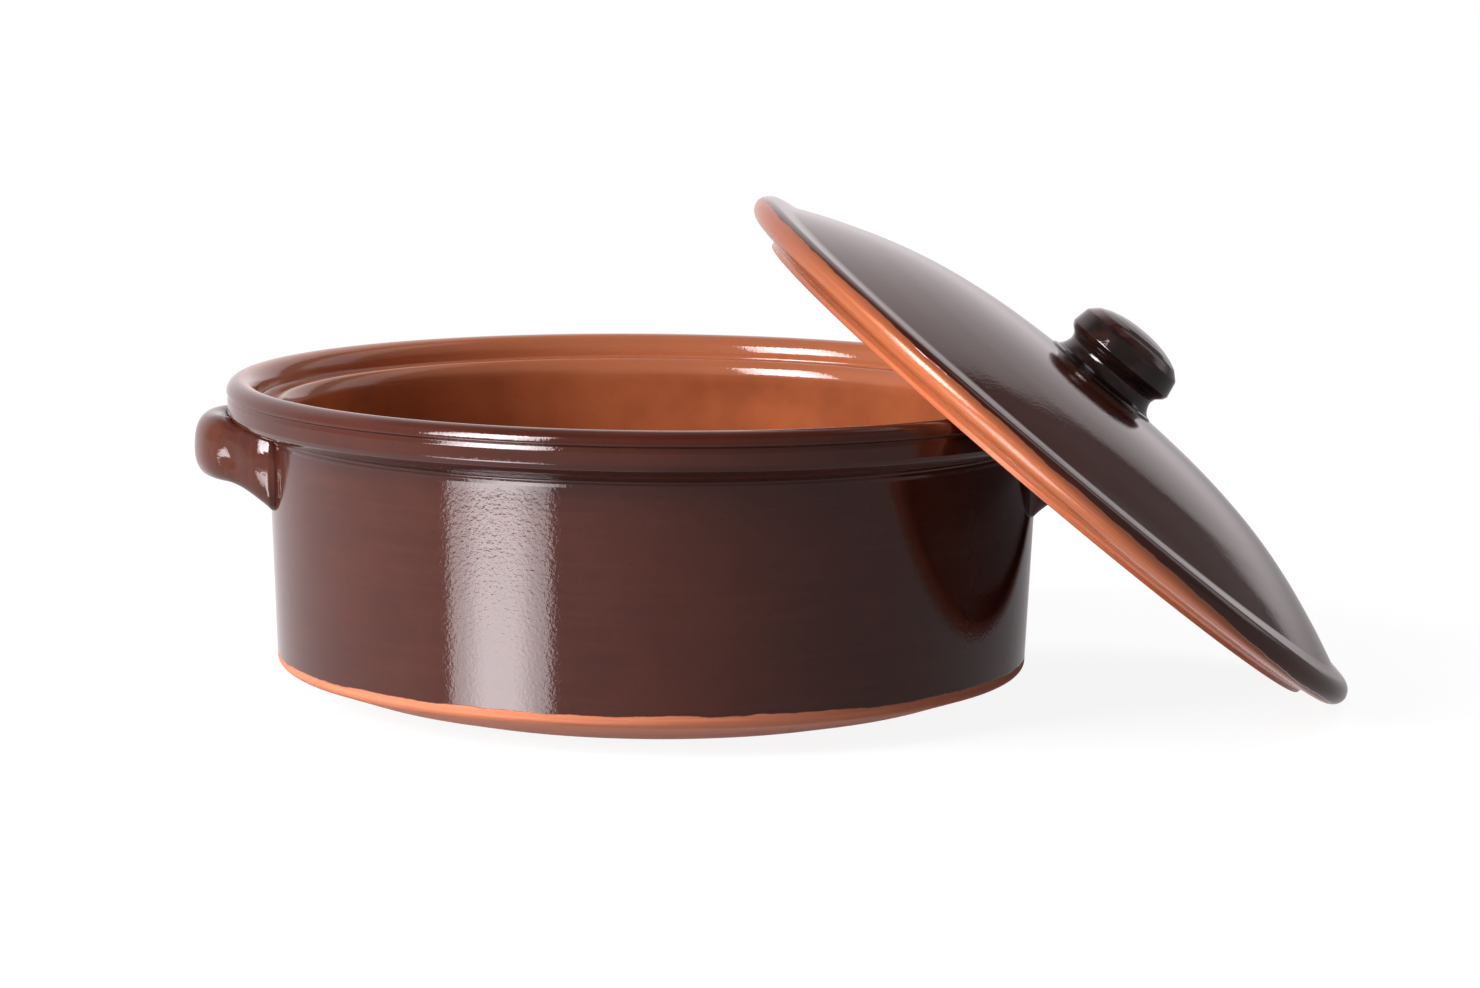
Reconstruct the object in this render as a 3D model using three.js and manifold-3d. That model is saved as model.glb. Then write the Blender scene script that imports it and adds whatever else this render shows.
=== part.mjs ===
// Terracotta casserole dish: a wide round pot with two loop handles, and a domed lid with a
// knob. The lid is off and leans on the pot's rim, with its lower edge on the table.
// Units are millimetres and +Z is up. The origin is the middle of the pot's flat base.
import * as THREE from 'three';
import { mergeVertices } from 'three/addons/utils/BufferGeometryUtils.js';
import loadManifold from 'manifold-3d';

// Pot, measured outwards from its axis and down from its lip
const rimRadius = 150;
const potHeight = 110.9;
const wallInset = 14.4;
const wallTaper = 3.4;
const wallThickness = 7.4;
const floorThickness = 8;
const floorFillet = 14;

// Trimmed foot below the wall
const footInset = 38.2;
const footHeight = 13.5;
const footRunShare = 0.9;
const footRiseShare = 0.76;

// Lip, and the collar and cove below it
const lipWidth = 10.8;
const lipOuterWidth = 4.6;
const lipOuterHeight = 4.4;
const lipInnerHeight = 6.5;
const lipUndercut = 1;
const collarInset = 0.3;
const collarHeight = 7.3;
const collarGroove = 0.7;
const collarRound = 2;
const coveHeight = 6.7;

// Gallery inside the lip, which carries the lid
const galleryDepth = 8.6;
const galleryFillet = 1.3;
const ledgeRound = 7;
const ledgeRoundRise = 0.6;

// Loop handles
const handleReach = 11.9;
const handleSpread = 30;
const barThickness = 14.5;
const barHeight = 22.5;
const barCentreDrop = 23.6;
const armThickness = 12.4;
const rootThickness = 19.5;
const rootHeight = 26;
const rootCentreDrop = 28.6;

// Lid, measured from the middle of its rim bead
const lidSideClearance = 3.8;
const lidThickness = 6.9;
const lidRise = 25.3;
const beadWidth = 10;
const beadHeight = 9.7;
const ringClearance = 6.6;
const ringWidth = 4.8;
const rimSlope = 1.8;
const ringDrop = 2.6;
const ringBevel = 3.6;
const ringRound = 0.8;

// Knob on the lid's crown
const knobHeight = 23.7;
const knobCapRadius = 21.3;
const knobCapSide = 10.4;
const knobCrownRise = 5.6;
const knobNeckRadius = 18;
const knobFootRadius = 22.2;
const knobFootHeight = 2.4;

// Pose of the lid, and the gap that neighbours keep
const leanDegrees = 39.3;
const seatGap = 0.3;

// Fineness of the round shapes
const turnSteps = 64;
const knobSteps = 36;
const handleSteps = 24;
const handleSides = 16;
const checkSteps = 721;
const quarter = 90;

// Heights and radii that follow from the sizes above
const wallRadius = rimRadius - wallInset;
const footRadius = wallRadius - wallTaper;
const innerRadius = wallRadius - wallThickness;
const galleryRadius = rimRadius - lipWidth;
const collarRadius = rimRadius - collarInset;
const ledgeHeight = potHeight - galleryDepth;
const grooveHeight = potHeight - lipOuterHeight - lipUndercut;
const collarBottom = grooveHeight - collarHeight;
const wallTop = collarBottom - coveHeight;
const lidRadius = galleryRadius - lidSideClearance;
const ringRadius = innerRadius - ringClearance;
const ringInner = ringRadius - ringWidth;
const beadRadius = lidRadius - beadWidth / 2;
const crownHeight = beadHeight / 2 + lidRise;

const point = (radius, height) => new THREE.Vector2(radius, height);

// Part of an ellipse, from one angle in degrees to another
function arc(centre, across, up, startDegrees, endDegrees, steps) {
  const points = [];
  for (let i = 0; i <= steps; i += 1) {
    const degrees = THREE.MathUtils.lerp(startDegrees, endDegrees, i / steps);
    const angle = THREE.MathUtils.degToRad(degrees);
    points.push(point(centre.x + across * Math.cos(angle), centre.y + up * Math.sin(angle)));
  }
  return points;
}

// Points written as shares of the way between two corners
function between(start, end, shares) {
  return shares.map(([across, up]) => point(
    THREE.MathUtils.lerp(start.x, end.x, across),
    THREE.MathUtils.lerp(start.y, end.y, up),
  ));
}

// Solid of revolution about Z
function turned(points, steps) {
  const geometry = new THREE.LatheGeometry(points, steps);
  geometry.rotateX(Math.PI / 2);
  geometry.deleteAttribute('normal');
  geometry.deleteAttribute('uv');
  return mergeVertices(geometry);
}

// Outside of the pot, from the edge of the flat base up to the groove below the lip
function potOutside() {
  const flatEdge = point(footRadius - footInset, 0);
  const trimTop = point(flatEdge.x + footInset * footRunShare, footHeight * footRiseShare);
  const trimShares = [[0.5, 0.4]];
  const trimCentre = point(trimTop.x, footHeight);
  const coveShares = [[0, 0], [0.05, 0.17], [0.29, 0.4], [0.6, 0.6], [0.87, 0.86]];
  const collarCentre = point(collarRadius - collarRound, collarBottom + collarRound);
  return [
    flatEdge,
    ...between(flatEdge, trimTop, trimShares),
    ...arc(trimCentre, footRadius - trimTop.x, footHeight - trimTop.y, -quarter, 0, 4),
    ...between(point(wallRadius, wallTop), point(collarRadius, collarBottom), coveShares),
    ...arc(collarCentre, collarRound, collarRound, -quarter / 3, 0, 1),
    point(collarRadius, grooveHeight - collarGroove),
    point(collarRadius - collarGroove, grooveHeight),
  ];
}

// Rounded lip, over the top and down to the gallery's mouth
function potLip() {
  const crest = rimRadius - lipOuterWidth;
  const outerCentre = point(crest, potHeight - lipOuterHeight);
  const innerCentre = point(crest, potHeight - lipInnerHeight);
  return [
    ...arc(outerCentre, lipOuterWidth, lipOuterHeight, 0, quarter, 6),
    ...arc(innerCentre, lipWidth - lipOuterWidth, lipInnerHeight, quarter, 2 * quarter, 6).slice(1),
  ];
}

// Gallery, its rounded inner edge, the inner wall and the floor
function potInside() {
  const edgeStart = 55;
  const filletCentre = point(galleryRadius - galleryFillet, ledgeHeight + galleryFillet);
  const edgeHeight = ledgeHeight + ledgeRoundRise;
  const edgeSine = Math.sin(THREE.MathUtils.degToRad(edgeStart));
  const edgeCentre = point(innerRadius + ledgeRound, edgeHeight - ledgeRound * edgeSine);
  const innerFoot = footRadius - wallThickness;
  const floorCentre = point(innerFoot - floorFillet, floorThickness + floorFillet);
  return [
    ...arc(filletCentre, galleryFillet, galleryFillet, 0, -quarter, 2),
    ...arc(edgeCentre, ledgeRound, ledgeRound, 2 * quarter - edgeStart, 2 * quarter, 4),
    ...arc(floorCentre, floorFillet, floorFillet, 0, -quarter, 4),
    point(0, floorThickness),
  ];
}

function potProfile() {
  return [point(0, 0), ...potOutside(), ...potLip(), ...potInside()];
}

// Fall of the lid's dome below its crown at a radius, for a dome of given rise and width
function domeFall(radius, rise, width) {
  const roundShare = 0.69;
  const share = radius / width;
  return rise * (roundShare * share ** 2 + (1 - roundShare) * share ** 4);
}

const domeWidth = beadRadius - beadWidth;
const domeRise = lidRise - beadHeight / 2;
const hollowWidth = ringInner - ringBevel;
const hollowCrown = crownHeight - lidThickness;
const hollowRise = hollowCrown - ringBevel;

const domeAt = (radius) => crownHeight - domeFall(radius, domeRise, domeWidth);
const hollowAt = (radius) => hollowCrown - domeFall(radius, hollowRise, hollowWidth);

function spread(count, start, end) {
  return Array.from({ length: count }, (_, i) => THREE.MathUtils.lerp(start, end, i / (count - 1)));
}

// Underside of the lid from the rim bead inwards: rim, locating ring with its inner bevel, and hollow
function lidUnderside() {
  const ringTop = -beadHeight / 2 - rimSlope;
  const ringBottom = ringTop - ringDrop;
  const rimShares = [[0.35, 0.6]];
  return [
    ...between(point(ringRadius, ringTop), point(beadRadius, -beadHeight / 2), rimShares),
    point(ringRadius + ringRound, ringTop),
    point(ringRadius, ringTop - ringRound),
    ...arc(point(ringRadius - ringRound, ringBottom + ringRound), ringRound, ringRound, 0, -quarter, 2),
    point(ringInner, ringBottom + ringBevel),
    point(ringInner, -ringBevel),
    ...spread(8, hollowWidth, 0).map((radius) => point(radius, hollowAt(radius))),
  ];
}

function lidProfile() {
  const coveShares = [[0.35, 0.45], [0.7, 0.8]];
  const coveStart = point(domeWidth, domeAt(domeWidth));
  const beadTop = point(beadRadius, beadHeight / 2);
  return [
    ...lidUnderside().reverse(),
    ...arc(point(beadRadius, 0), beadWidth / 2, beadHeight / 2, -quarter, quarter, 10),
    ...between(coveStart, beadTop, coveShares).reverse(),
    ...spread(9, domeWidth, 0).map((radius) => point(radius, domeAt(radius))),
  ];
}

// Knob, from the dome under it up over the cap, with its origin at the lid's crown
function knobProfile() {
  const sole = spread(4, 0, knobFootRadius);
  const capBottom = knobHeight - knobCrownRise - knobCapSide;
  const neckBottom = point(knobFootRadius, knobFootHeight);
  const neckTop = point(knobNeckRadius, capBottom);
  const neckShares = [[0.45, 0.1], [0.6, 0.22], [0.86, 0.5], [1, 0.78]];
  const capShares = [[0.73, 0], [0.18, 0.17], [0, 0.35], [0, 0.75], [0.15, 0.91]];
  const capCorner = point(knobCapRadius, capBottom);
  const capTop = point(knobNeckRadius, capBottom + knobCapSide);
  return [
    ...sole.map((radius) => point(radius, -domeFall(radius, domeRise, domeWidth))),
    point(knobFootRadius, knobFootHeight * 0.6),
    point(knobFootRadius * 0.98, knobFootHeight * 0.9),
    ...between(neckBottom, neckTop, neckShares),
    ...between(capCorner, capTop, capShares),
    ...spread(7, 0.93, 0).map((share) => point(
      knobCapRadius * share,
      knobHeight - knobCrownRise * share ** 2.3,
    )),
  ];
}

// Loop handle along +X, as rings of a rounded section that leave the wall and come back. Its arms
// are thinner than the bar and flare where they meet the wall.
function handleRings() {
  const barRadius = rimRadius + handleReach - barThickness / 2;
  const armShares = [
    [-0.7, 1.13], [-0.23, 1.01], [0.03, 0.93], [0.29, 0.79], [0.55, 0.68], [0.785, 0.5], [0.95, 0.25],
  ];
  const flareShare = 0.3;
  const otherShares = armShares.map(([out, side]) => [out, -side]).reverse();
  const route = [...armShares, [1, 0], ...otherShares].map(([out, side]) => new THREE.Vector3(
    THREE.MathUtils.lerp(wallRadius, barRadius, out),
    handleSpread * side,
    0,
  ));
  const curve = new THREE.CatmullRomCurve3(route);
  const squareness = 2.5;
  const rings = [];
  for (let i = 0; i <= handleSteps; i += 1) {
    const along = i / handleSteps;
    const centre = curve.getPointAt(along);
    const tangent = curve.getTangentAt(along);
    const outward = new THREE.Vector3(-tangent.y, tangent.x, 0).normalize();
    const out = THREE.MathUtils.clamp((centre.x - wallRadius) / (barRadius - wallRadius), 0, 1);
    const flare = (1 - Math.min(out / flareShare, 1)) ** 1.4;
    const swell = THREE.MathUtils.smoothstep(out, flareShare, 1);
    const thickness = THREE.MathUtils.lerp(armThickness, barThickness, swell);
    const halfThickness = THREE.MathUtils.lerp(thickness, rootThickness, flare) / 2;
    const halfHeight = THREE.MathUtils.lerp(barHeight, rootHeight, flare) / 2;
    const drop = THREE.MathUtils.lerp(barCentreDrop, rootCentreDrop, flare);
    const ring = [];
    for (let j = 0; j < handleSides; j += 1) {
      const angle = (2 * Math.PI * j) / handleSides;
      const across = Math.sign(Math.cos(angle)) * Math.abs(Math.cos(angle)) ** (2 / squareness);
      const up = Math.sign(Math.sin(angle)) * Math.abs(Math.sin(angle)) ** (2 / squareness);
      ring.push(centre.clone()
        .addScaledVector(outward, halfThickness * across)
        .setZ(potHeight - drop + halfHeight * up));
    }
    rings.push(ring);
  }
  return rings;
}

// Closed skin over a row of rings
function loft(rings) {
  const sides = rings[0].length;
  const middle = (ring) => ring.reduce((sum, v) => sum.add(v), new THREE.Vector3()).divideScalar(sides);
  const vertices = [...rings.flat(), middle(rings[0]), middle(rings[rings.length - 1])];
  const faces = [];
  for (let i = 0; i < rings.length - 1; i += 1) {
    for (let j = 0; j < sides; j += 1) {
      const a = i * sides + j;
      const b = i * sides + ((j + 1) % sides);
      faces.push(a, b, b + sides, a, b + sides, a + sides);
    }
  }
  const last = (rings.length - 1) * sides;
  for (let j = 0; j < sides; j += 1) {
    const next = (j + 1) % sides;
    faces.push(vertices.length - 2, next, j);
    faces.push(vertices.length - 1, last + j, last + next);
  }
  const geometry = new THREE.BufferGeometry().setFromPoints(vertices);
  geometry.setIndex(faces);
  return geometry;
}

const wasm = await loadManifold();
wasm.setup();

function solidOf(geometry) {
  return new wasm.Manifold(new wasm.Mesh({
    numProp: 3,
    vertProperties: Float32Array.from(geometry.attributes.position.array),
    triVerts: Uint32Array.from(geometry.index.array),
  }));
}

function geometryOf(solid) {
  const mesh = solid.getMesh();
  const geometry = new THREE.BufferGeometry();
  geometry.setAttribute('position', new THREE.BufferAttribute(mesh.vertProperties, 3));
  geometry.setIndex(new THREE.BufferAttribute(mesh.triVerts, 1));
  return geometry;
}

// Space that the pot fills, grown by the gap outwards and downwards, which trims the handle's roots
function potSpace() {
  const grown = potOutside().map((p) => point(p.x + seatGap, p.y));
  const first = grown[0];
  const last = grown[grown.length - 1];
  const space = solidOf(turned([point(0, first.y), ...grown, point(0, last.y)], turnSteps));
  return space.add(space.translate([0, 0, -seatGap]));
}

const handleGeometry = () => geometryOf(solidOf(loft(handleRings())).subtract(potSpace()));

// Height of the lid's underside at a radius, along straight lines between its points
function undersideAt(radius, line) {
  for (let i = 0; i < line.length - 1; i += 1) {
    const [far, near] = [line[i], line[i + 1]];
    if (radius <= far.x && radius >= near.x && far.x > near.x) {
      const share = (radius - near.x) / (far.x - near.x);
      return THREE.MathUtils.lerp(near.y, far.y, share);
    }
  }
  return Infinity;
}

// Height of the bead's centre when the lid leans with its lower edge on the table
function leanHeight(lean) {
  const reach = Math.hypot(beadWidth * Math.sin(lean), beadHeight * Math.cos(lean)) / 2;
  return beadRadius * Math.sin(lean) + reach;
}

// True if the leaning lid, with its centre at a given X, clears the pot's lip by the gap
function lidClears(centreX, lean, line) {
  const height = leanHeight(lean);
  const flatness = ringRadius * (1 - Math.cos(Math.PI / turnSteps));
  const slack = arc(point(0, 0), seatGap + flatness, seatGap, 0, 2 * quarter, 6);
  return potLip().every((edge) => spread(checkSteps, -quarter, quarter).every((degrees) => {
    const angle = THREE.MathUtils.degToRad(degrees);
    const away = edge.x * Math.cos(angle) - centreX;
    const rise = edge.y - height;
    const up = away * Math.sin(lean) + rise * Math.cos(lean);
    const along = away * Math.cos(lean) - rise * Math.sin(lean);
    const radius = Math.hypot(along, edge.x * Math.sin(angle));
    return slack.every((shift) => up + shift.y <= undersideAt(radius + shift.x, line));
  }));
}

// The lid comes in from the right until it rests on the lip
function leanCentre(lean) {
  const line = lidUnderside();
  let far = rimRadius + lidRadius;
  let near = 0;
  for (let i = 0; i < 40; i += 1) {
    const middle = (far + near) / 2;
    if (lidClears(middle, lean, line)) far = middle;
    else near = middle;
  }
  return far;
}

function glaze(color, roughness) {
  return new THREE.MeshStandardMaterial({ color, roughness, metalness: 0 });
}

function piece(name, geometry, material) {
  const mesh = new THREE.Mesh(geometry, material);
  mesh.name = name;
  return mesh;
}

const potBody = piece('pot_body', turned(potProfile(), turnSteps), glaze(0x4d2c27, 0.12));
const handleRight = piece('handle_right', handleGeometry(), glaze(0x552e27, 0.14));
const handleLeft = piece('handle_left', handleGeometry(), glaze(0x552e27, 0.14));
handleLeft.rotation.z = Math.PI;

const lidShell = piece('lid_shell', turned(lidProfile(), turnSteps), glaze(0x52342f, 0.12));
const lidKnob = piece('lid_knob', turned(knobProfile(), knobSteps), glaze(0x2e1b19, 0.12));
lidKnob.position.z = crownHeight + seatGap;

const lean = THREE.MathUtils.degToRad(leanDegrees);
const lid = new THREE.Group();
lid.add(lidShell, lidKnob);
lid.rotation.y = lean;
lid.position.set(leanCentre(lean), 0, leanHeight(lean));

const dish = new THREE.Group();
dish.add(potBody, handleLeft, handleRight, lid);

export default dish;
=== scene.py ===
"""Looks of a glazed terracotta casserole dish with a loose lid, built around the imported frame.

Profiles and handle sizes are in millimetres, as in the part's source, and MM turns them into metres.
"""

import math

import bpy
import numpy as np
from mathutils import Matrix, Vector, noise


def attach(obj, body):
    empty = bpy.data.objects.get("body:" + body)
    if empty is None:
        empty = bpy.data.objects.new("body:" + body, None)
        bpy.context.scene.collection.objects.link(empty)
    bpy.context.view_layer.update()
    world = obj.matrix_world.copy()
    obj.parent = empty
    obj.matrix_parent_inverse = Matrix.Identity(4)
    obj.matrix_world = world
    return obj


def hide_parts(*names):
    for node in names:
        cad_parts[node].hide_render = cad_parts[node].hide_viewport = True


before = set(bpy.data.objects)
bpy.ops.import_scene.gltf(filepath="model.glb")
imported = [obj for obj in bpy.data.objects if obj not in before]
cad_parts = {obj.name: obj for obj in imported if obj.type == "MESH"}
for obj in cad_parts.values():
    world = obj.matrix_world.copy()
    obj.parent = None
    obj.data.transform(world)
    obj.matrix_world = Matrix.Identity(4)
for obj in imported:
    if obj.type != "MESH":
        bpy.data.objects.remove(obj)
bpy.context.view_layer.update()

MM = 0.001

# Sizes in step with the solids. An oval is its centre (r, z) and its two half axes.
FOOT_ROUND = (128.4, 13.5, 3.8, 3.2)
LIP_OUTER = (145.4, 106.5, 4.6, 4.4)
LIP_INNER = (145.4, 104.4, 6.2, 6.5)
LEDGE_EDGE = (135.2, 97.17, 7, 7)
BEAD = (130.4, 0, 5, 4.85)
WALL_RADIUS = 135.6
WALL_TAPER = 3.4
WALL_HEIGHTS = (13.5, 91.5)

# Where the lid leans, and where its knob stands on it
LEAN_DEGREES = 39.3
LEAN_CENTRE = (140.2, -1.0, 87.5)
LEAN_TURN = -0.236
KNOB_PLACE = (-1.8, 0, 28.8)

# The dome's outline from its rim to its crown
DOME = [(125, 5.8), (120.4, 7.9), (113, 11.1), (104, 14.6), (95, 17.8), (83, 21.4), (70, 24.4),
        (55, 26.8), (40, 28.3), (20, 29.3), (0, 29.6)]

# Camera fitted to the photograph, in millimetres, radians and pixels of a 1480 x 988 image
CAMERA_BACK = 1605.72
CAMERA_HEIGHT = 299.33
CAMERA_YAW = 0.019071
CAMERA_PITCH = 0.1419056
CAMERA_ROLL = 0.0119576
CAMERA_FOCAL = 4590.3
IMAGE_WIDTH = 1480
SENSOR_WIDTH = 36

# Fineness of the meshes
TURN_STEPS = 288
KNOB_STEPS = 128
PROFILE_STEP = 3.0
KNOB_PROFILE_STEP = 1.5
ARC_STEP_DEGREES = 9
ROUND_LEAST_STEPS = 3
OVAL_LEAST_STEPS = 4
DOME_STEPS = 6

# A corner flatter than this stays sharp, and a rounding takes at most this share of a side
STRAIGHT_DEGREES = 178
ROUND_SIDE_SHARE = 0.49

# Unevenness of a thrown form: how fast it changes round and along the form, and its size. It only
# makes a form smaller and fades out towards the axis. What lies below one height and outside one
# radius stays true, which is the lid's ring and the lower half of its rim.
WOBBLE_TURN = 1.3
WOBBLE_ALONG = 0.02
POT_UNEVEN = 0.1
LID_UNEVEN = 0.15
KNOB_UNEVEN = 0.1
AXIS_FADE = 20
ON_AXIS = 1e-6
TRUE_BELOW = 1
TRUE_OUTSIDE = 100


# Profiles

def corner(r, z, radius=0.0):
    """A corner of a profile, rounded with the given radius."""
    return ("corner", r, z, radius)


def oval(centre_and_axes, start, end):
    """A run of an upright ellipse from one angle to another, in degrees."""
    return ("oval", centre_and_axes, start, end)


def rounded(before, here, after, radius):
    """Points of the arc that rounds the corner at here."""
    to_before, to_after = before - here, after - here
    a, b = np.linalg.norm(to_before), np.linalg.norm(to_after)
    to_before, to_after = to_before / a, to_after / b
    between = math.acos(float(np.clip(to_before @ to_after, -1, 1)))
    if radius <= 0 or between > math.radians(STRAIGHT_DEGREES):
        return [here]
    reach = min(radius / math.tan(between / 2), a * ROUND_SIDE_SHARE, b * ROUND_SIDE_SHARE)
    radius = reach * math.tan(between / 2)
    axis = (to_before + to_after) / np.linalg.norm(to_before + to_after)
    centre = here + axis * radius / math.sin(between / 2)
    start = here + to_before * reach - centre
    turn = math.pi - between
    side = 1 if start[0] * (here - centre)[1] - start[1] * (here - centre)[0] > 0 else -1
    steps = max(ROUND_LEAST_STEPS, math.ceil(math.degrees(turn) / ARC_STEP_DEGREES))
    points = []
    for i in range(steps + 1):
        angle = side * turn * i / steps
        c, s = math.cos(angle), math.sin(angle)
        points.append(centre + np.array([start[0] * c - start[1] * s, start[0] * s + start[1] * c]))
    return points


def traced(items):
    """The profile as a list of (r, z) points."""
    raw = []
    for item in items:
        if item[0] == "corner":
            raw.append((np.array([item[1], item[2]], float), item[3]))
        else:
            (r, z, a, b), start, end = item[1:]
            steps = max(OVAL_LEAST_STEPS, math.ceil(abs(end - start) / ARC_STEP_DEGREES))
            for i in range(steps + 1):
                angle = math.radians(start + (end - start) * i / steps)
                raw.append((np.array([r + a * math.cos(angle), z + b * math.sin(angle)]), 0.0))
    points = []
    for i, (here, radius) in enumerate(raw):
        if 0 < i < len(raw) - 1:
            points += rounded(raw[i - 1][0], here, raw[i + 1][0], radius)
        else:
            points.append(here)
    return [tuple(p) for p in points]


def divided(points, longest):
    """The same line with no stretch longer than the given length."""
    result = [points[0]]
    for a, b in zip(points, points[1:]):
        pieces = max(1, math.ceil(math.dist(a, b) / longest))
        for i in range(1, pieces + 1):
            t = i / pieces
            result.append((a[0] + (b[0] - a[0]) * t, a[1] + (b[1] - a[1]) * t))
    return result


def smooth_line(points, steps):
    """A smooth line through the points, with the given steps between each two."""
    ends = [points[0], *points, points[-1]]
    line = []
    for i in range(len(points) - 1):
        p0, p1, p2, p3 = (np.array(ends[i + k], float) for k in range(4))
        for step in range(steps):
            u = step / steps
            line.append(tuple(0.5 * (2 * p1 + (p2 - p0) * u + (2 * p0 - 5 * p1 + 4 * p2 - p3) * u * u
                                     + (3 * p1 - p0 - 3 * p2 + p3) * u ** 3)))
    return [*line, points[-1]]


POT_PROFILE = [
    corner(0, 0), corner(94, 0, 1.5), corner(111.2, 4.1, 40), oval(FOOT_ROUND, -62, 0),
    corner(135.5, 90.3, 1), corner(135.9, 91.5, 0.5), corner(135.7, 92.6, 1.2),
    corner(139.4, 94.3, 6), corner(145, 95.9, 8), corner(148.6, 97.9, 1.3),
    corner(149.7, 99.7, 1.2), corner(149.65, 104.1, 1.0), corner(149.0, 105.45, 0.25),
    corner(150, 106.35, 0.5), oval(LIP_OUTER, 4, 90), oval(LIP_INNER, 94, 180),
    corner(139.2, 102.3, 1.3), oval(LEDGE_EDGE, 125, 180), corner(124.8, 8, 14), corner(0, 8),
]

LID_PROFILE = [
    corner(0, 23.25), corner(16.2, 22.96), corner(32.3, 22.07), corner(48.5, 20.52),
    corner(64.7, 18.1), corner(80.9, 14.64), corner(97, 9.93), corner(113.2, 3.6, 3),
    corner(116.8, -3.6, 1), corner(116.8, -5.65, 0.8), corner(121.2, -9.6, 1.1),
    corner(121.7, -7.3, 0.7), corner(122.9, -6.45, 0.5), corner(126, -5.5, 2),
    oval(BEAD, -90, 90), *(corner(r, z) for r, z in smooth_line(DOME, DOME_STEPS)),
]

KNOB_PROFILE = [
    corner(0, -0.3), corner(14.8, -0.5), corner(22.2, -0.9), corner(22.5, 0.4, 0.4),
    corner(21.7, 1.1, 0.4), corner(20.6, 1.4, 0.4), corner(19.6, 2.3, 0.6), corner(18.8, 3.6, 1.5),
    corner(18, 5.8, 3), corner(18.7, 7.8, 1.2), corner(20.7, 9.6, 1.2),
    corner(21.45, 11.1, 0.8), corner(20.85, 14.4, 20), corner(20.25, 17.2, 1.6),
    corner(17.04, 20.2, 5), corner(13.63, 21.69, 8),
    corner(10.22, 22.66, 8), corner(6.82, 23.29, 8), corner(3.41, 23.62), corner(0, 23.7),
]


# Meshes

def smoothstep(low, high, value):
    """0 below low, 1 above high and a smooth rise between them. low may be the larger one."""
    t = min(1, max(0, (value - low) / (high - low)))
    return t * t * (3 - 2 * t)


def wobble(angle, along, size, seed):
    """A slow, handmade unevenness round a thrown form."""
    place = Vector((math.cos(angle) * WOBBLE_TURN, math.sin(angle) * WOBBLE_TURN,
                    along * WOBBLE_ALONG + seed))
    return size * noise.noise(place)


def add_float(mesh, name, values):
    """Keeps one number per vertex under a name that a material can read."""
    layer = mesh.attributes.new(name, "FLOAT", "POINT")
    layer.data.foreach_set("value", np.asarray(values, np.float32))


def add_vector(mesh, name, values):
    """Keeps one vector per vertex under a name that a material can read."""
    layer = mesh.attributes.new(name, "FLOAT_VECTOR", "POINT")
    layer.data.foreach_set("vector", np.asarray(values, np.float32).ravel())


def make_object(name, verts, faces):
    """A smooth-shaded mesh object that sits at the origin."""
    mesh = bpy.data.meshes.new(name)
    mesh.from_pydata(verts, [], faces)
    mesh.validate()
    mesh.update()
    mesh.shade_smooth()
    piece = bpy.data.objects.new(name, mesh)
    bpy.context.scene.collection.objects.link(piece)
    return piece


def turned_faces(rows):
    """Faces between the rows of a turned form. A row on the axis is a single vertex."""
    faces = []
    for low, high in zip(rows, rows[1:]):
        count = max(len(low), len(high))
        for i in range(count):
            j = (i + 1) % count
            if len(low) == 1:
                faces.append((low[0], high[j], high[i]))
            elif len(high) == 1:
                faces.append((low[i], low[j], high[0]))
            else:
                faces.append((low[i], low[j], high[j], high[i]))
    return faces


def turned(name, items, place, steps, marks, uneven, seed, longest=PROFILE_STEP):
    """A thrown form: the profile turned about its own axis and put in place.

    marks maps an attribute's name to a function of (r, z, angle in degrees, share of the profile).
    """
    line = divided(traced(items), longest)
    lengths = [0.0]
    for a, b in zip(line, line[1:]):
        lengths.append(lengths[-1] + math.dist(a, b))
    verts, around, rows = [], [], []
    values = {key: [] for key in marks}
    for (r, z), along in zip(line, lengths):
        fade = min(1, r / AXIS_FADE)
        stays_true = z <= TRUE_BELOW and r >= TRUE_OUTSIDE
        row = []
        for i in range(1 if r < ON_AXIS else steps):
            angle = 2 * math.pi * i / steps
            shift = 0 if stays_true else wobble(angle, along, uneven, seed) * fade - uneven * fade
            radius = r + shift
            local = Vector((radius * math.cos(angle), radius * math.sin(angle), z)) * MM
            row.append(len(verts))
            verts.append(place @ local)
            around.append((math.cos(angle) * fade, math.sin(angle) * fade, along * MM))
            degrees = (math.degrees(angle) + 180) % 360 - 180
            for key, rule in marks.items():
                values[key].append(rule(r, z, degrees, along / lengths[-1]))
        rows.append(row)
    piece = make_object(name, verts, turned_faces(rows))
    add_vector(piece.data, "around", around)
    for key, numbers in values.items():
        add_float(piece.data, key, numbers)
    return piece


# The handles. A path point is (share of the way from wall to bar, share of the half spread).

HANDLE_PATH = [(-0.38, 0.93), (-0.18, 0.92), (0.03, 0.88), (0.29, 0.79), (0.55, 0.68),
               (0.785, 0.5), (0.95, 0.25)]
HANDLE_SPREAD = 30
HANDLE_STEPS = 9
HANDLE_SIDES = 64
SQUARENESS = 2.3

# The bar, the arms, and how the arms spread and sink in at the wall
BAR_RADIUS = 154.65
BAR_HALF = 7.25
BAR_TOP, BAR_BOTTOM = 98.2, 75.2
ARM_HALF = 6.2
ARM_TOP = 96
ARM_FROM, ARM_TO = 0.4, 0.85
ROOT_FROM, ROOT_SPREAD, ROOT_POWER = 0.28, 5, 1.5
ROOT_DEEP, ROOT_TAPER = -0.2, 14
UNDER_FROM, UNDER_SPREAD, UNDER_POWER = 0.6, 12, 1.6

# The skirt of clay smeared onto the wall, with its shares outwards, sideways and upwards
FLARE_REACH = 4
FLARE_SIZE = 1.2
FLARE_POWER = 2.6
FLARE_SHARES = (0.3, 1, 0.3)

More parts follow.
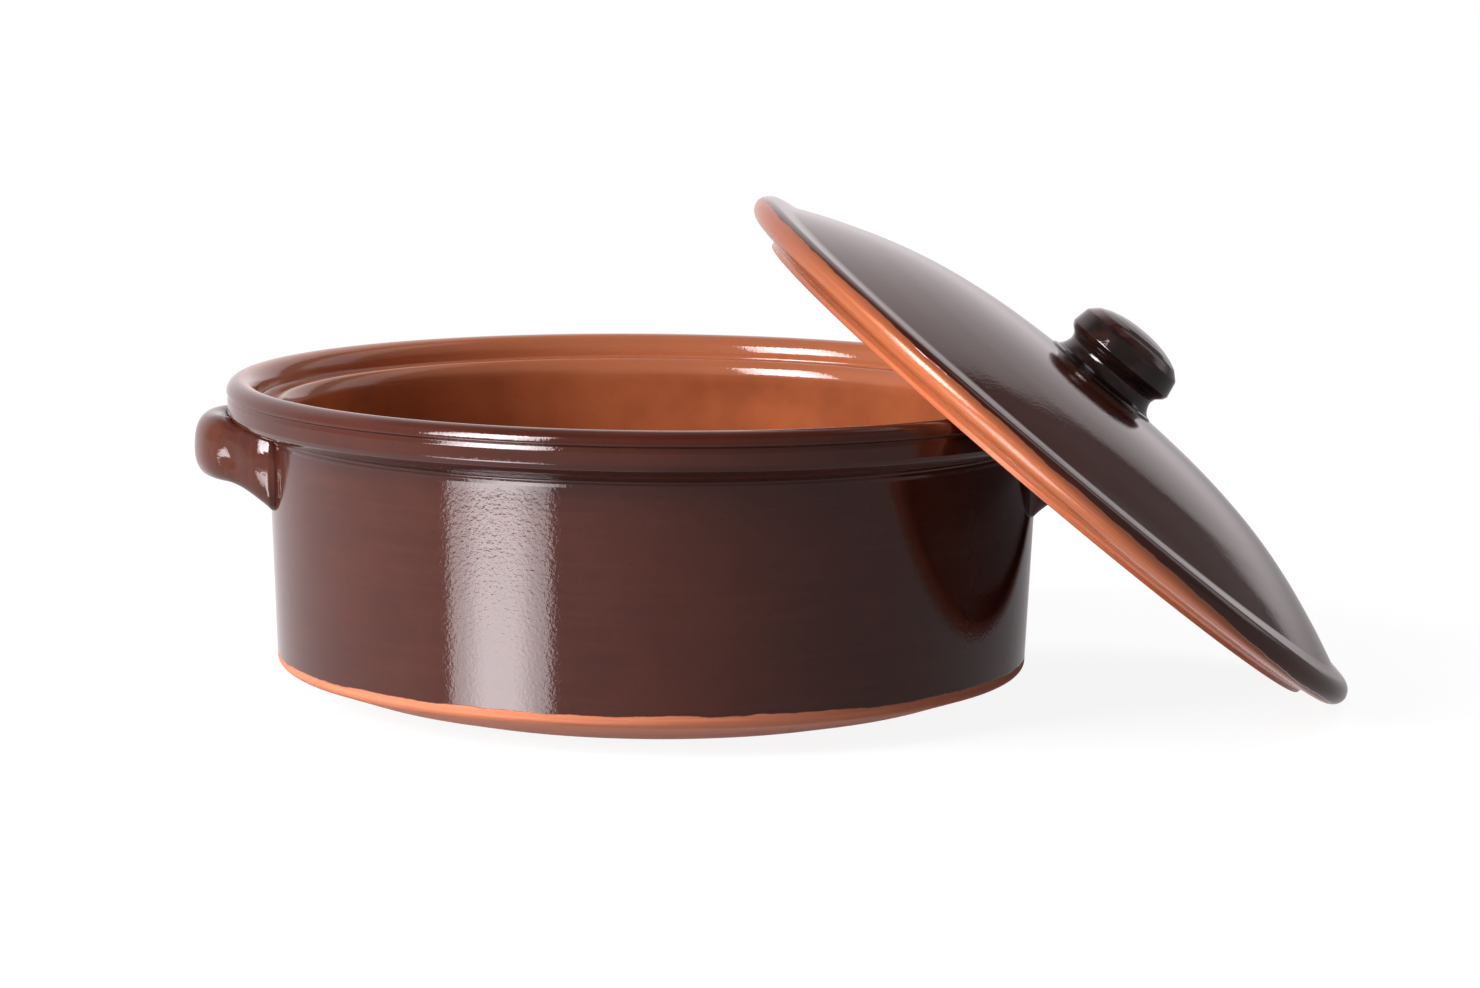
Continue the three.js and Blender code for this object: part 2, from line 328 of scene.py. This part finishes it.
# Dents left by fingers, as (place on the left handle, width, depth), and a slow bulge all over
PINCHES = [((-148, -28, 84), 7, 1.8), ((-150, -27, 90), 4, 0.7), ((-141, -34, 90), 5, 0.8)]
DENT_SHARES = (1, 1, 0)
BULGE_SIZE = 0.35
BULGE_MIDDLE = 0.6
BULGE_SCALE = 0.05
BULGE_SEED = 7

# Radius of the mark around on a handle. It is 1 on the thrown forms.
HANDLE_AROUND = 0.2


def handle_line():
    """The middle line of a handle as (outwards, sideways) points in millimetres."""
    shares = [*HANDLE_PATH, (1.0, 0.0), *((out, -side) for out, side in reversed(HANDLE_PATH))]
    return [(WALL_RADIUS + (BAR_RADIUS - WALL_RADIUS) * out, HANDLE_SPREAD * side)
            for out, side in smooth_line(shares, HANDLE_STEPS)]


def wall_radius(z):
    """The pot's outer radius at a height on its wall."""
    low, high = WALL_HEIGHTS
    return WALL_RADIUS - WALL_TAPER * (high - z) / (high - low)


def handle_section(out):
    """Half thickness, top and bottom of a handle at a distance from the pot's middle."""
    gone = (out - WALL_RADIUS) / (BAR_RADIUS - WALL_RADIUS)
    near = max(gone, ROOT_DEEP)
    towards_bar = smoothstep(ARM_FROM, ARM_TO, gone)
    half = ARM_HALF + (BAR_HALF - ARM_HALF) * towards_bar
    half += ROOT_SPREAD * max(0, ROOT_FROM - near) ** ROOT_POWER
    half -= ROOT_TAPER * max(0, ROOT_DEEP - gone)
    top = ARM_TOP + (BAR_TOP - ARM_TOP) * towards_bar
    bottom = BAR_BOTTOM - UNDER_SPREAD * max(0, UNDER_FROM - near) ** UNDER_POWER
    return half, top, bottom


def worked(point, away, side):
    """A point of a handle's skin after smearing, pinching and bulging it along away."""
    gap = math.hypot(point[0], point[1]) - wall_radius(point[2])
    skirt = FLARE_SIZE * max(0.0, 1 - max(gap, 0.0) / FLARE_REACH) ** FLARE_POWER
    point = point + away * FLARE_SHARES * skirt
    for (px, py, pz), width, depth in PINCHES:
        reach = (point[0] + px) ** 2 + (abs(point[1]) + py) ** 2 + (point[2] - pz) ** 2
        dent = depth * math.exp(-reach / (2 * (width / 2) ** 2))
        point = point - away * DENT_SHARES * dent
    place = Vector(point * BULGE_SCALE) + Vector((0, 0, side * BULGE_SEED))
    return point + away * BULGE_SIZE * (noise.noise(place) - BULGE_MIDDLE)


def loop_handle(name, side):
    """A loop handle whose ends sink into the pot's wall. side is -1 for left, 1 for right."""
    line = handle_line()
    verts, around, rows = [], [], []
    travelled = 0.0
    for k, (out, across) in enumerate(line):
        if k:
            travelled += math.dist(line[k], line[k - 1])
        before, after = line[max(k - 1, 0)], line[min(k + 1, len(line) - 1)]
        tangent = np.array([after[0] - before[0], after[1] - before[1]])
        tangent /= np.linalg.norm(tangent)
        half_out, top, bottom = handle_section(out)
        half_up = (top - bottom) / 2
        middle_z = (top + bottom) / 2
        row = []
        for i in range(HANDLE_SIDES):
            angle = 2 * math.pi * i / HANDLE_SIDES
            c, s = math.cos(angle), math.sin(angle)
            u = half_out * math.copysign(abs(c) ** (2 / SQUARENESS), c)
            v = half_up * math.copysign(abs(s) ** (2 / SQUARENESS), s)
            skin = np.array([out + tangent[1] * u, across - tangent[0] * u, middle_z + v])
            away = np.array([tangent[1] * u, -tangent[0] * u, v]) / math.hypot(u, v)
            x, y, z = worked(skin, away, side)
            row.append(len(verts))
            verts.append(Vector((side * x, side * y, z)) * MM)
            around.append((c * HANDLE_AROUND, s * HANDLE_AROUND, travelled * MM))
        rows.append(row)
    faces = []
    for low, high in zip(rows, rows[1:]):
        for i in range(HANDLE_SIDES):
            j = (i + 1) % HANDLE_SIDES
            faces.append((low[i], high[i], high[j], low[j]))
    faces.append(tuple(rows[0]))
    faces.append(tuple(reversed(rows[-1])))
    piece = make_object(name, verts, faces)
    add_vector(piece.data, "around", around)
    return piece


# Marks that the materials read. The first half of a profile is the outside or the underside.

FIRST_HALF = 0.5
ALL_GLAZED = 20
ALL_BARE = -20

GLAZE_START = 14.9
HONEY_LIP_FROM = 99
HONEY_LIP_RADII = (148, 143.5)
INSIDE_RADIUS = 130
INSIDE_FROM = 5
LEDGE_HEIGHTS = (96, 99)
LEDGE_RADII = (147, 144)

RING_INSIDE = 118.4
BARE_OUTSIDE = 126
LINE_HIGH = 2.9
LINE_FALL = 6.2
LINE_TURN = (125, 12)
# The raised end's clay is darkened as painted shade. Below the glaze line a thin brown wash of glaze
# darkens it too.
RAISED_TURN = (112, 160)
RAISED_PAINTED_SHADE = 0.9
LINE_WASH = 0.8
LINE_WASH_DEPTHS = (-2.8, -0.3)

SHOULDER_HEIGHT = 19.3
SHOULDER_WIDTH = 1.4
SHOULDER_RADII = (14, 19)


def pot_glaze_edge(r, z, degrees, share):
    """Millimetres above the line where the outer glaze stops; the bare foot is below zero."""
    return z - GLAZE_START if share < FIRST_HALF else ALL_GLAZED


def pot_inside(r, z, degrees, share):
    """1 where the clear honey glaze covers the inside, fading over the lip."""
    if z > HONEY_LIP_FROM:
        return smoothstep(*HONEY_LIP_RADII, r)
    return 1 if share > FIRST_HALF and r < INSIDE_RADIUS and z > INSIDE_FROM else 0


def pot_ledge(r, z, degrees, share):
    """1 on the gallery and on the inside of the lip, where the honey glaze is thin and pale."""
    return smoothstep(*LEDGE_HEIGHTS, z) * smoothstep(*LEDGE_RADII, r)


def lid_line(degrees):
    """The height at which the glaze stops on the lid's bead; it runs lower towards the table end."""
    return LINE_HIGH - LINE_FALL * smoothstep(*LINE_TURN, abs(degrees))


def lid_glaze_edge(r, z, degrees, share):
    """Millimetres above the line where the lid's brown glaze stops on its rim and inside its ring."""
    if share < FIRST_HALF and r < RING_INSIDE:
        return ALL_GLAZED
    if share < FIRST_HALF and r < BARE_OUTSIDE:
        return ALL_BARE
    if r < BEAD[0] and z > 0:
        return ALL_GLAZED
    return z - lid_line(degrees)


def lid_wash_and_shade(r, z, degrees, share):
    """1 where thin brown glaze has run over the clay below the glaze line, and where painted shade
    darkens the clay at the raised end.
    """
    raised = smoothstep(*RAISED_TURN, abs(degrees))
    return max(RAISED_PAINTED_SHADE * raised, LINE_WASH * smoothstep(*LINE_WASH_DEPTHS, z - lid_line(degrees)))


def knob_edge(r, z, degrees, share):
    """1 where the glaze runs thin on the knob's shoulder."""
    near = math.exp(-((z - SHOULDER_HEIGHT) / SHOULDER_WIDTH) ** 2)
    return near * smoothstep(*SHOULDER_RADII, r)


# Node materials

class Nodes:
    """Short calls that build the node tree of a material or a world."""

    def __init__(self, owner):
        owner.use_nodes = True
        self.owner = owner
        self.tree = owner.node_tree
        self.tree.nodes.clear()

    def add(self, kind, inputs=(), **settings):
        made = self.tree.nodes.new("ShaderNode" + kind)
        for key, value in settings.items():
            setattr(made, key, value)
        for key, value in dict(inputs).items():
            if isinstance(value, bpy.types.NodeSocket):
                self.tree.links.new(value, made.inputs[key])
            else:
                made.inputs[key].default_value = value
        return made

    def mark(self, name):
        return self.add("Attribute", attribute_name=name, attribute_type="GEOMETRY")

    def math(self, operation, a, b=0.0, c=0.0):
        return self.add("Math", {0: a, 1: b, 2: c}, operation=operation).outputs[0]

    def ramp(self, value, low, high, to_low=0.0, to_high=1.0):
        inputs = {0: value, 1: low, 2: high, 3: to_low, 4: to_high}
        return self.add("MapRange", inputs, interpolation_type="SMOOTHSTEP").outputs[0]

    def within(self, value, limits, soft):
        """1 where value lies between the limits, with soft edges."""
        low = self.ramp(value, limits[0] - soft, limits[0] + soft)
        high = self.ramp(value, limits[1] - soft, limits[1] + soft, 1.0, 0.0)
        return self.math("MULTIPLY", low, high)

    def panorama(self, azimuth, stops):
        """A level that changes with the azimuth, from (degrees, level) stops."""
        made = self.add("ValToRGB", {0: self.math("MULTIPLY_ADD", azimuth, 1 / 360, 0.5)})
        marks = made.color_ramp.elements
        while len(marks) < len(stops):
            marks.new(0.5)
        for mark, (degrees, amount) in zip(marks, stops):
            mark.position = degrees / 360 + 0.5
            mark.color = (amount, amount, amount, 1)
        return made.outputs["Color"]

    def colour(self, factor, a, b):
        """A mix of two colours. They sit at sockets 6 and 7 of the node, and the result at 2."""
        made = self.add("Mix", {"Factor": factor}, data_type="RGBA")
        for socket, value in zip(made.inputs[6:8], (a, b)):
            if isinstance(value, bpy.types.NodeSocket):
                self.tree.links.new(value, socket)
            else:
                socket.default_value = (*value, 1)
        return made.outputs[2]

    def scaled(self, vector, scale):
        return self.add("Mapping", {"Vector": vector, "Scale": scale}).outputs[0]

    def noise(self, vector, scale, detail=2.0, rough=0.5):
        inputs = {"Vector": vector, "Scale": scale, "Detail": detail, "Roughness": rough}
        return self.add("TexNoise", inputs).outputs["Fac"]

    def bump(self, height, distance, before=None):
        inputs = {"Height": height, "Distance": distance, "Strength": 1.0}
        if before is not None:
            inputs["Normal"] = before
        return self.add("Bump", inputs).outputs["Normal"]

    def output(self, shader, kind="OutputMaterial"):
        self.add(kind, {"Surface": shader})
        return self.owner


# Patterns as (scale, detail, roughness), where the peel's scale is in the look. A stretch is a
# scale for each axis of the mark around.
CLOUDS = (26, 3.0, 0.6)
STREAKS = (1.0, 4.0, 0.6)
PEEL_DETAIL = (3.0, 0.55)
SPECKS = (620, 1.0)
WANDER = (90, 3.0)
SLIP = (1.6, 4.0, 0.6)
SLIP_STRETCH = (3, 3, 30)
GRAIN = (1500, 2.0, 0.7)
BANDS = (1.0, 3.0, 0.6)
BAND_STRETCH = (2, 2, 900)

# Where a pattern starts to show and where it shows in full
CLOUD_RAMP = (0.3, 0.7)
STREAK_RAMP = (0.42, 0.75)
SPECK_RAMP = (0.66, 0.74)
HONEY_RAMP = (0.3, 0.72)
INSIDE_RAMP = (0.35, 0.75)
GRAIN_RAMP = (0.55, 0.8)
BAND_RAMP = (0.3, 0.7)

# How strongly each one shows, and how far the edges of the glazes wander
STREAK_SHARE = 0.45
HONEY_SPECK_SHARE = 0.35
LEDGE_SHARE = 0.8
GRAIN_SHARE = 0.35
ROLL_SHARE = 0.75
WANDER_SIZE = 0.7
SLIP_SIZE = 3.2
STREAK_ROUGHNESS = 0.05

# The edge of the glaze: millimetres of softness, of the thick roll above it, and metres of step
EDGE_SOFT = 0.25
ROLL_HEIGHTS = (0.15, 1.5)
GLAZE_STEP = 0.00018


def brown_glaze(n, look, clouds, streaks, specks):
    """Colour of the brown glaze, cloudy, streaked round the form and finely specked."""
    body = n.colour(n.ramp(clouds, *CLOUD_RAMP), look["thick"], look["glaze"])
    body = n.colour(n.math("MULTIPLY", n.ramp(streaks, *STREAK_RAMP), STREAK_SHARE), body, look["thin"])
    body = n.colour(n.math("MULTIPLY", specks, look["speck_share"]), body, look["speck"])
    if "thin_mark" in look:
        edge = n.mark(look["thin_mark"]).outputs["Fac"]
        body = n.colour(n.math("MULTIPLY", edge, look["thin_share"]), body, look["thin"])
    return body


def honey_glaze(n, look, body, object_place, clouds, specks):
    """The brown colour with honey glaze over it where the mark inside says so."""
    honey = n.colour(n.ramp(clouds, *HONEY_RAMP), look["honey_deep"], look["honey"])
    honey = n.colour(n.math("MULTIPLY", specks, HONEY_SPECK_SHARE), honey, look["honey_deep"])
    ledge = n.math("MULTIPLY", n.mark("ledge").outputs["Fac"], LEDGE_SHARE)
    honey = n.colour(ledge, honey, look["honey_pale"])
    wander = n.math("MULTIPLY_ADD", n.noise(object_place, *WANDER), WANDER_SIZE, -WANDER_SIZE / 2)
    inner = n.math("ADD", n.mark("inside").outputs["Fac"], wander)
    return n.colour(n.ramp(inner, *INSIDE_RAMP), body, honey)


def clay_colour(n, look, grain, bands):
    """Colour of bare clay, banded round the form and grainy, under a thin brown wash and painted shade
    where marked.
    """
    clay = n.colour(n.ramp(bands, *BAND_RAMP), look["clay_deep"], look["clay"])
    clay = n.colour(n.math("MULTIPLY", n.ramp(grain, *GRAIN_RAMP), GRAIN_SHARE), clay, look["clay_pale"])
    if "wash_and_shade" in look:
        # One colour serves both the thin brown glaze wash below the lid's glaze line and the painted
        # shade at its raised end
        clay = n.colour(n.mark("wash_and_shade").outputs["Fac"], clay, look["wash_and_shade"])
    return clay


def ceramic(name, look):
    """Glaze over red clay, with bare clay where the mark glaze_edge falls below zero."""
    n = Nodes(bpy.data.materials.new(name))
    object_place = n.add("TexCoord").outputs["Object"]
    around = n.mark("around").outputs["Vector"]
    clouds = n.noise(object_place, *CLOUDS)
    streaks = n.noise(n.scaled(around, look["ring_scale"]), *STREAKS)
    peel = n.noise(object_place, look["peel_scale"], *PEEL_DETAIL)
    specks = n.ramp(n.noise(object_place, *SPECKS), *SPECK_RAMP)

    body = brown_glaze(n, look, clouds, streaks, specks)
    if "honey" in look:
        body = honey_glaze(n, look, body, object_place, clouds, specks)
    smooth = look["roughness"] - STREAK_ROUGHNESS / 2
    roughness = n.math("MULTIPLY_ADD", streaks, STREAK_ROUGHNESS, smooth)
    normal = n.bump(streaks, look["ring_height"])
    normal = n.bump(peel, look["peel_height"], normal)
    if "clay" in look:
        slip = n.noise(n.scaled(around, SLIP_STRETCH), *SLIP)
        slip = n.math("MULTIPLY_ADD", slip, SLIP_SIZE, -SLIP_SIZE / 2)
        line = n.math("ADD", n.mark("glaze_edge").outputs["Fac"], slip)
        bare = n.ramp(line, -EDGE_SOFT, EDGE_SOFT, 1.0, 0.0)
        roll = n.math("MULTIPLY", n.ramp(line, *ROLL_HEIGHTS, 1.0, 0.0), ROLL_SHARE)
        grain = n.noise(object_place, *GRAIN)
        bands = n.noise(n.scaled(around, BAND_STRETCH), *BANDS)
        body = n.colour(roll, body, look["thick"])
        body = n.colour(bare, body, clay_colour(n, look, grain, bands))
        roughness = n.add("Mix", {0: bare, 2: roughness, 3: look["clay_roughness"]}).outputs[0]
        dull = n.math("MULTIPLY", n.math("ADD", grain, bands), bare)
        normal = n.bump(dull, look["grain_height"], normal)
        normal = n.bump(bare, -GLAZE_STEP, normal)
    shader = n.add("BsdfPrincipled", {"Base Color": body, "Roughness": roughness, "Normal": normal})
    shader.inputs["IOR"].default_value = look["ior"]
    return n.output(shader.outputs[0])


# Looks. Colours are linear, scales are per metre and heights are in metres.
BROWN = {
    "glaze": (0.069, 0.0145, 0.0078), "thick": (0.055, 0.0112, 0.0062), "thin": (0.08, 0.018, 0.010),
    "speck": (0.03, 0.009, 0.006), "speck_share": 0.3, "roughness": 0.035, "ior": 1.5,
    "ring_scale": (2.2, 2.2, 260), "ring_height": 0.000008,
    "peel_scale": 760, "peel_height": 0.00004,
}
POT_LOOK = {
    **BROWN,
    "honey": (0.36, 0.098, 0.038), "honey_deep": (0.235, 0.062, 0.025),
    "honey_pale": (0.38, 0.12, 0.055),
    "clay": (0.68, 0.235, 0.122), "clay_deep": (0.55, 0.165, 0.085), "clay_pale": (0.76, 0.34, 0.21),
    "clay_roughness": 0.62, "grain_height": 0.00006,
}
HANDLE_LOOK = {
    **BROWN,
    "glaze": (0.088, 0.021, 0.011), "thick": (0.052, 0.0125, 0.0075), "thin": (0.12, 0.032, 0.016),
}
LID_LOOK = {
    **BROWN,
    "clay": (0.6, 0.178, 0.072), "clay_deep": (0.48, 0.118, 0.043), "clay_pale": (0.68, 0.26, 0.13),
    # Colour of the thin brown glaze wash, also used as painted shade at the raised end
    "wash_and_shade": (0.27, 0.078, 0.036), "clay_roughness": 0.22, "grain_height": 0.000008,
}
KNOB_LOOK = {
    **BROWN,
    "glaze": (0.017, 0.0085, 0.0068), "thick": (0.009, 0.0055, 0.005), "thin": (0.09, 0.024, 0.016),
    "thin_mark": "shoulder", "thin_share": 0.6, "ring_height": 0.000006,
}


# Pieces

lid_place = (Matrix.Translation(Vector(LEAN_CENTRE) * MM)
             @ Matrix.Rotation(math.radians(LEAN_TURN), 4, "Z")
             @ Matrix.Rotation(math.radians(LEAN_DEGREES), 4, "Y"))
knob_place = lid_place @ Matrix.Translation(Vector(KNOB_PLACE) * MM)

pot_marks = {"glaze_edge": pot_glaze_edge, "inside": pot_inside, "ledge": pot_ledge}
lid_marks = {"glaze_edge": lid_glaze_edge, "wash_and_shade": lid_wash_and_shade}
knob_marks = {"shoulder": knob_edge}

pot = turned("pot_thrown", POT_PROFILE, Matrix.Identity(4), TURN_STEPS, pot_marks, POT_UNEVEN, seed=3.0)
lid = turned("lid_thrown", LID_PROFILE, lid_place, TURN_STEPS, lid_marks, LID_UNEVEN, seed=11.0)
knob = turned("knob_turned", KNOB_PROFILE, knob_place, KNOB_STEPS, knob_marks, KNOB_UNEVEN, seed=17.0,
              longest=KNOB_PROFILE_STEP)
left_handle = loop_handle("loop_left", -1)
right_handle = loop_handle("loop_right", 1)

handle_material = ceramic("handle_ceramic", HANDLE_LOOK)
PIECES = [
    (pot, "pot", "pot_body", "pot_glaze", ceramic("pot_ceramic", POT_LOOK)),
    (left_handle, "pot", "handle_left", "handle_glaze", handle_material),
    (right_handle, "pot", "handle_right", "handle_glaze", handle_material),
    (lid, "lid", "lid_shell", "lid_glaze", ceramic("lid_ceramic", LID_LOOK)),
    (knob, "lid", "lid_knob", "knob_glaze", ceramic("knob_ceramic", KNOB_LOOK)),
]
for piece, body, node, slot, material in PIECES:
    piece.data.materials.append(material)
    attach(piece, body)
    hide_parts(node)


# The floor, which shows white to the camera and keeps the object's shadow. Sizes are in metres.
# Its glow starts with this share and strength at the dish, and both reach 1 at the far distance.

FLOOR_HALF = 1.6
FLOOR_CORNERS = ((-1, -1), (1, -1), (1, 1), (-1, 1))
FLOOR_GLOW_SHARE = 0.64
FLOOR_GLOW = 1.4
FLOOR_COLOUR = (0.42, 0.42, 0.42, 1)
WHITE_DISTANCES = (0.32, 0.95)


def make_floor():
    """White paper under the dish, which the glaze doesn't mirror."""
    verts = [(x * FLOOR_HALF, y * FLOOR_HALF, 0) for x, y in FLOOR_CORNERS]
    floor = make_object("floor", verts, [(0, 1, 2, 3)])
    n = Nodes(bpy.data.materials.new("floor_paper"))
    path = n.add("LightPath")
    place = n.add("TexCoord").outputs["Object"]
    distance = n.add("VectorMath", {0: place}, operation="LENGTH").outputs["Value"]
    share = n.ramp(distance, *WHITE_DISTANCES, FLOOR_GLOW_SHARE, 1.0)
    shown = n.math("MULTIPLY", path.outputs["Is Camera Ray"], share)
    matte = n.add("BsdfDiffuse", {"Color": FLOOR_COLOUR}).outputs[0]
    strength = n.ramp(distance, *WHITE_DISTANCES, FLOOR_GLOW, 1.0)
    glow = n.add("Emission", {"Strength": strength}).outputs[0]
    paper = n.add("MixShader", {0: shown, 1: matte, 2: glow}).outputs[0]
    clear = n.add("BsdfTransparent").outputs[0]
    through = n.math("MAXIMUM", path.outputs["Is Glossy Ray"], path.outputs["Is Transmission Ray"])
    surface = n.add("MixShader", {0: through, 1: paper, 2: clear}).outputs[0]
    floor.data.materials.append(n.output(surface))


make_floor()


# The studio that the glaze mirrors, by azimuth and elevation in degrees. A level of 1 is white.

PLAIN_LEVEL = 0.12
LIGHT_TINT = (1.0, 0.925, 0.95)
WHITE = (1, 1, 1)

# A tall soft box at the left, brightest in its middle, and its own image in the table
BOX_AZIMUTHS = (-62.8, -30.4)
BOX_SOFT = 0.5
BOX_MIDDLE_REACH = (4, 14)
BOX_SIDE_SHARE = 0.5
BOX_ELEVATIONS = (10, 44)
BOX_END_SOFT = 1.5
BOX_LEVEL = 29
TABLE_ELEVATIONS = (-44, -11.7)
TABLE_END_SOFT = 0.3
TABLE_LEVEL = 12

# A weak panel high at the right
HIGH_AZIMUTHS = (104, 131)
HIGH_SOFT = 4
HIGH_ELEVATIONS = (8, 62)
HIGH_END_SOFT = 5
HIGH_LEVEL = 0.8

# The rest of the room above and below the horizon, as (azimuth, level) stops
HORIZON = (-3, 6)
SKY_FADE = (38, 60)
SKY_TOP_SHARE = 0.3
SKY = ((-180, 1.1), (-125, 0.9), (-104, 0.5), (-62, 0.5), (-25, 0.42), (-10, 0.27), (60, 0.26),
       (120, 0.24), (143.9, 0.24), (144.3, 0.05), (145.3, 0.05), (145.8, 0.75), (151, 0.92),
       (180, 1.15))
TABLE = ((-180, 1.0), (-80, 0.95), (-62, 0.8), (-20, 0.68), (5, 0.5), (30, 0.42), (70, 0.37),
         (140, 0.33), (168, 0.45), (180, 1.0))


def soft_box(w, azimuth, elevation):
    """Level of the soft box and of its image in the table."""
    across = w.within(azimuth, BOX_AZIMUTHS, BOX_SOFT)
    from_middle = w.math("ABSOLUTE", w.math("SUBTRACT", azimuth, sum(BOX_AZIMUTHS) / 2))
    bright = w.ramp(from_middle, *BOX_MIDDLE_REACH, 1.0, BOX_SIDE_SHARE)
    box = w.math("MULTIPLY", w.within(elevation, BOX_ELEVATIONS, BOX_END_SOFT), BOX_LEVEL)
    mirrored = w.math("MULTIPLY", w.within(elevation, TABLE_ELEVATIONS, TABLE_END_SOFT), TABLE_LEVEL)
    return w.math("MULTIPLY", w.math("MULTIPLY", across, bright), w.math("ADD", box, mirrored))


def room(w, azimuth, elevation):
    """Level of the room round the table."""
    fade = w.ramp(elevation, *SKY_FADE, 1.0, SKY_TOP_SHARE)
    sky = w.math("MULTIPLY", w.panorama(azimuth, SKY), fade)
    high = w.math("MULTIPLY", w.within(azimuth, HIGH_AZIMUTHS, HIGH_SOFT),
                  w.within(elevation, HIGH_ELEVATIONS, HIGH_END_SOFT))
    sky = w.math("MULTIPLY_ADD", high, HIGH_LEVEL, sky)
    above = w.ramp(elevation, *HORIZON)
    return w.add("Mix", {0: above, 2: w.panorama(azimuth, TABLE), 3: sky}).outputs[0]


def make_world():
    """White to the camera, a plain level to matte surfaces, and the studio to the glaze."""
    world = bpy.data.worlds.new("studio")
    bpy.context.scene.world = world
    w = Nodes(world)
    direction = w.add("SeparateXYZ", {0: w.add("TexCoord").outputs["Generated"]})
    dx, dy, dz = direction.outputs
    azimuth = w.math("DEGREES", w.math("ARCTAN2", dx, w.math("MULTIPLY", dy, -1.0)))
    elevation = w.math("DEGREES", w.math("ARCSINE", dz))
    reflected = w.math("ADD", room(w, azimuth, elevation), soft_box(w, azimuth, elevation))
    path = w.add("LightPath")
    seen = w.math("MAXIMUM", path.outputs["Is Glossy Ray"], path.outputs["Is Transmission Ray"])
    level = w.add("Mix", {0: seen, 2: PLAIN_LEVEL, 3: reflected}).outputs[0]
    level = w.add("Mix", {0: path.outputs["Is Camera Ray"], 2: level, 3: 1.0}).outputs[0]
    tint = w.colour(seen, WHITE, LIGHT_TINT)
    surface = w.add("Background", {"Color": tint, "Strength": level}).outputs[0]
    w.output(surface, "OutputWorld")


make_world()

# Lamps as (name, azimuth, elevation, watts), which the glaze and the camera don't see
LAMP_DISTANCE = 1.6
LAMP_SIZE = (0.95, 1.0)
LAMPS = [("key", -56, 27, 45), ("fill", 140, 38, 13)]


def make_lamp(name, azimuth, elevation, watts):
    """A rectangular area lamp that shines on the middle of the table."""
    lamp = bpy.data.lights.new(name, "AREA")
    lamp.shape = "RECTANGLE"
    lamp.size, lamp.size_y = LAMP_SIZE
    lamp.energy = watts
    holder = bpy.data.objects.new(name, lamp)
    bpy.context.scene.collection.objects.link(holder)
    a, e = math.radians(azimuth), math.radians(elevation)
    towards = Vector((math.sin(a) * math.cos(e), -math.cos(a) * math.cos(e), math.sin(e)))
    holder.location = towards * LAMP_DISTANCE
    holder.rotation_euler = towards.to_track_quat("Z", "Y").to_euler()
    holder.visible_glossy = False
    holder.visible_camera = False


for settings in LAMPS:
    make_lamp(*settings)


# Camera

def photo_camera():
    """The camera that was fitted to the photograph."""
    cy, sy = math.cos(CAMERA_YAW), math.sin(CAMERA_YAW)
    cp, sp = math.cos(CAMERA_PITCH), math.sin(CAMERA_PITCH)
    forward = Vector((sy * cp, cy * cp, -sp))
    right = Vector((cy, -sy, 0))
    up = right.cross(forward)
    cr, sr = math.cos(CAMERA_ROLL), math.sin(CAMERA_ROLL)
    rolled_right = right * cr + up * sr
    rolled_up = up * cr - right * sr
    data = bpy.data.cameras.new("camera")
    data.sensor_width = SENSOR_WIDTH
    data.lens = CAMERA_FOCAL * SENSOR_WIDTH / IMAGE_WIDTH
    camera = bpy.data.objects.new("camera", data)
    turn = Matrix((rolled_right, rolled_up, -forward)).transposed()
    camera.matrix_world = (Matrix.Translation(Vector((0, -CAMERA_BACK, CAMERA_HEIGHT)) * MM)
                           @ turn.to_4x4())
    bpy.context.scene.collection.objects.link(camera)
    bpy.context.scene.camera = camera


photo_camera()
bpy.context.scene.view_settings.view_transform = "Standard"
